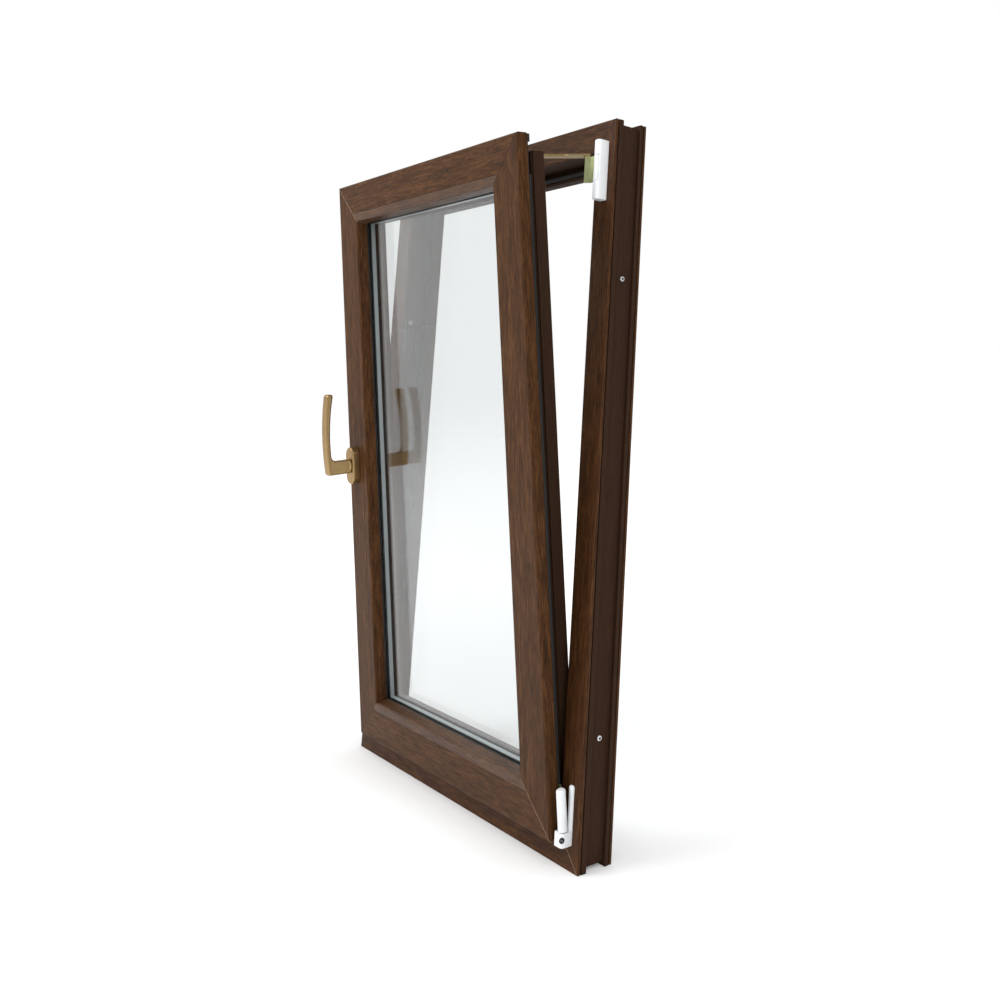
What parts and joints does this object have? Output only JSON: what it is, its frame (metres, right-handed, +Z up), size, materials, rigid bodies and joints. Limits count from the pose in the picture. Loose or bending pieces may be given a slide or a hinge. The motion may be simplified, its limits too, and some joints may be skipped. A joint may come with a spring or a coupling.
{
  "type": "tilt and turn window",
  "caption": "Tilt and turn casement window with mitred wood-grain frame and sash, double glazing, lever handle, stay arm and capped hinges, shown with the sash tilted in at the top",
  "frame": {"origin": "on the underside of the sill, middle of the window's width, on the broad land of the room-side foot", "axes": "+X along the window towards the hinge side, +Y from the room to the outside, +Z up"},
  "size_m": [0.656, 0.2087, 1.04],
  "materials": {
    "walnut_foil": "walnut grain foil on plastic profile",
    "black_seal": "soft black seal",
    "clear_glass": "clear float glass",
    "grey_spacer": "mill aluminium spacer bar",
    "white_hinge": "white hinge cap",
    "satin_gold": "anodised satin champagne",
    "brown_plastic": "moulded brown cap",
    "chromated_steel": "yellow chromated steel",
    "zinc_steel": "bright zinc-plated steel"
  },
  "bodies": {
    "frame": {"frame_head": "walnut_foil", "frame_sill": "walnut_foil", "frame_jamb_left": "walnut_foil", "frame_jamb_right": "walnut_foil", "frame_gasket": "black_seal", "stay_bearing": "chromated_steel", "stay_bearing_caps": "white_hinge", "pivot_bearing": "white_hinge", "pivot_bearing_cover": "white_hinge", "strike_plates": "zinc_steel", "drain_caps": "brown_plastic"},
    "pivot": {"pivot_post": "zinc_steel"},
    "sash": {"sash_rail_top": "walnut_foil", "sash_rail_bottom": "walnut_foil", "sash_stile_left": "walnut_foil", "sash_stile_right": "walnut_foil", "bead_top": "walnut_foil", "bead_bottom": "walnut_foil", "bead_left": "walnut_foil", "bead_right": "walnut_foil", "glass_pane_inner": "clear_glass", "glass_pane_outer": "clear_glass", "glass_spacer": "grey_spacer", "glazing_gasket_inner": "black_seal", "glazing_gasket_outer": "black_seal", "sash_gasket": "black_seal", "gear_faceplate_left": "zinc_steel", "gear_faceplate_top": "zinc_steel", "gear_faceplate_bottom": "zinc_steel", "locking_cams": "zinc_steel", "corner_hinge": "chromated_steel", "corner_hinge_cover": "white_hinge", "handle_rosette": "satin_gold"},
    "handle": {"handle_lever": "satin_gold"},
    "stay": {"stay_arm": "chromated_steel", "stay_knuckle_cover": "white_hinge"},
    "link": {"stay_link": "zinc_steel"}
  },
  "joints": [
    {"name": "sash_turn", "type": "hinge", "parent": "frame", "child": "pivot", "pos_m": [0.306, -0.02225, 0.056], "axis": [0, 0, 1], "range_deg": [0, 90]},
    {"name": "sash_tilt", "type": "hinge", "parent": "pivot", "child": "sash", "pos_m": [0.306, -0.02225, 0.056], "axis": [-1, 0, 0], "range_deg": [0, 7.3]},
    {"name": "handle_turn", "type": "hinge", "parent": "sash", "child": "handle", "pos_m": [-0.265, -0.09072, 0.50393], "axis": [0, 0.9919, 0.1271], "range_deg": [0, 180]},
    {"name": "stay_swing", "type": "hinge", "parent": "pivot", "child": "stay", "pos_m": [0.306, -0.02225, 0.96], "axis": [0, 0, -1], "range_deg": [0, 37.34]},
    {"name": "link_swing", "type": "hinge", "parent": "stay", "child": "link", "pos_m": [0.20667, -0.07338, 0.985], "axis": [0, 0, 1], "range_deg": [0, 90.5]}
  ],
  "couplings": [
    {"joint": "stay_swing", "follows": "sash_tilt", "ratio": 5.1084},
    {"joint": "link_swing", "follows": "sash_tilt", "ratio": 12.39}
  ]
}
